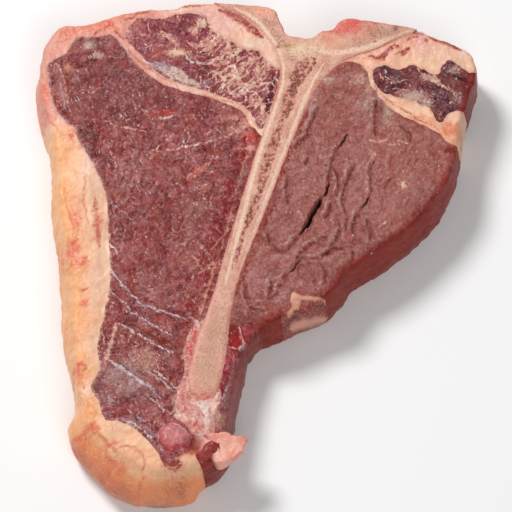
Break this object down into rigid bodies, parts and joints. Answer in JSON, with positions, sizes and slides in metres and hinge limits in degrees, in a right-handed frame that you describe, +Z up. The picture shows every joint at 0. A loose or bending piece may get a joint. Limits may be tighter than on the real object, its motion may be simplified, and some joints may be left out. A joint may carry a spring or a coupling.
{
  "type": "raw t-bone steak",
  "caption": "Raw bone-in beef steak, cut square across the loin: strip loin and tenderloin either side of a T-shaped bone, with a fat edge.",
  "frame": {"origin": "middle of the footprint, on the cut face that the steak lies on", "axes": "+X from the fat edge towards the tenderloin, +Y from the tail towards the split chine bone, +Z up through the thickness"},
  "size_m": [0.1766, 0.2054, 0.0277],
  "materials": {
    "strip_lean": "moist raw lean beef, dark purplish red with pale marbling",
    "tender_lean": "moist raw tenderloin, brownish mauve, fine grain",
    "dark_lean": "wet dark red lean",
    "fat": "waxy cream to peach fat",
    "pink_fat": "waxy fat stained pink",
    "bone": "sawn bone, cream rim round porous reddish marrow",
    "gristle": "wet pink gristle with white sinew"
  },
  "bodies": {
    "root": {"t_bone": "bone", "strip_loin": "strip_lean", "multifidus": "strip_lean", "tenderloin": "tender_lean", "side_muscle": "strip_lean", "fat_cap": "fat", "tenderloin_fat": "pink_fat", "fold_fat": "fat", "gristle": "gristle", "lean_nugget": "dark_lean", "edge_strip": "dark_lean", "tail_lean": "dark_lean", "fat_flap": "pink_fat"}
  },
  "joints": []
}
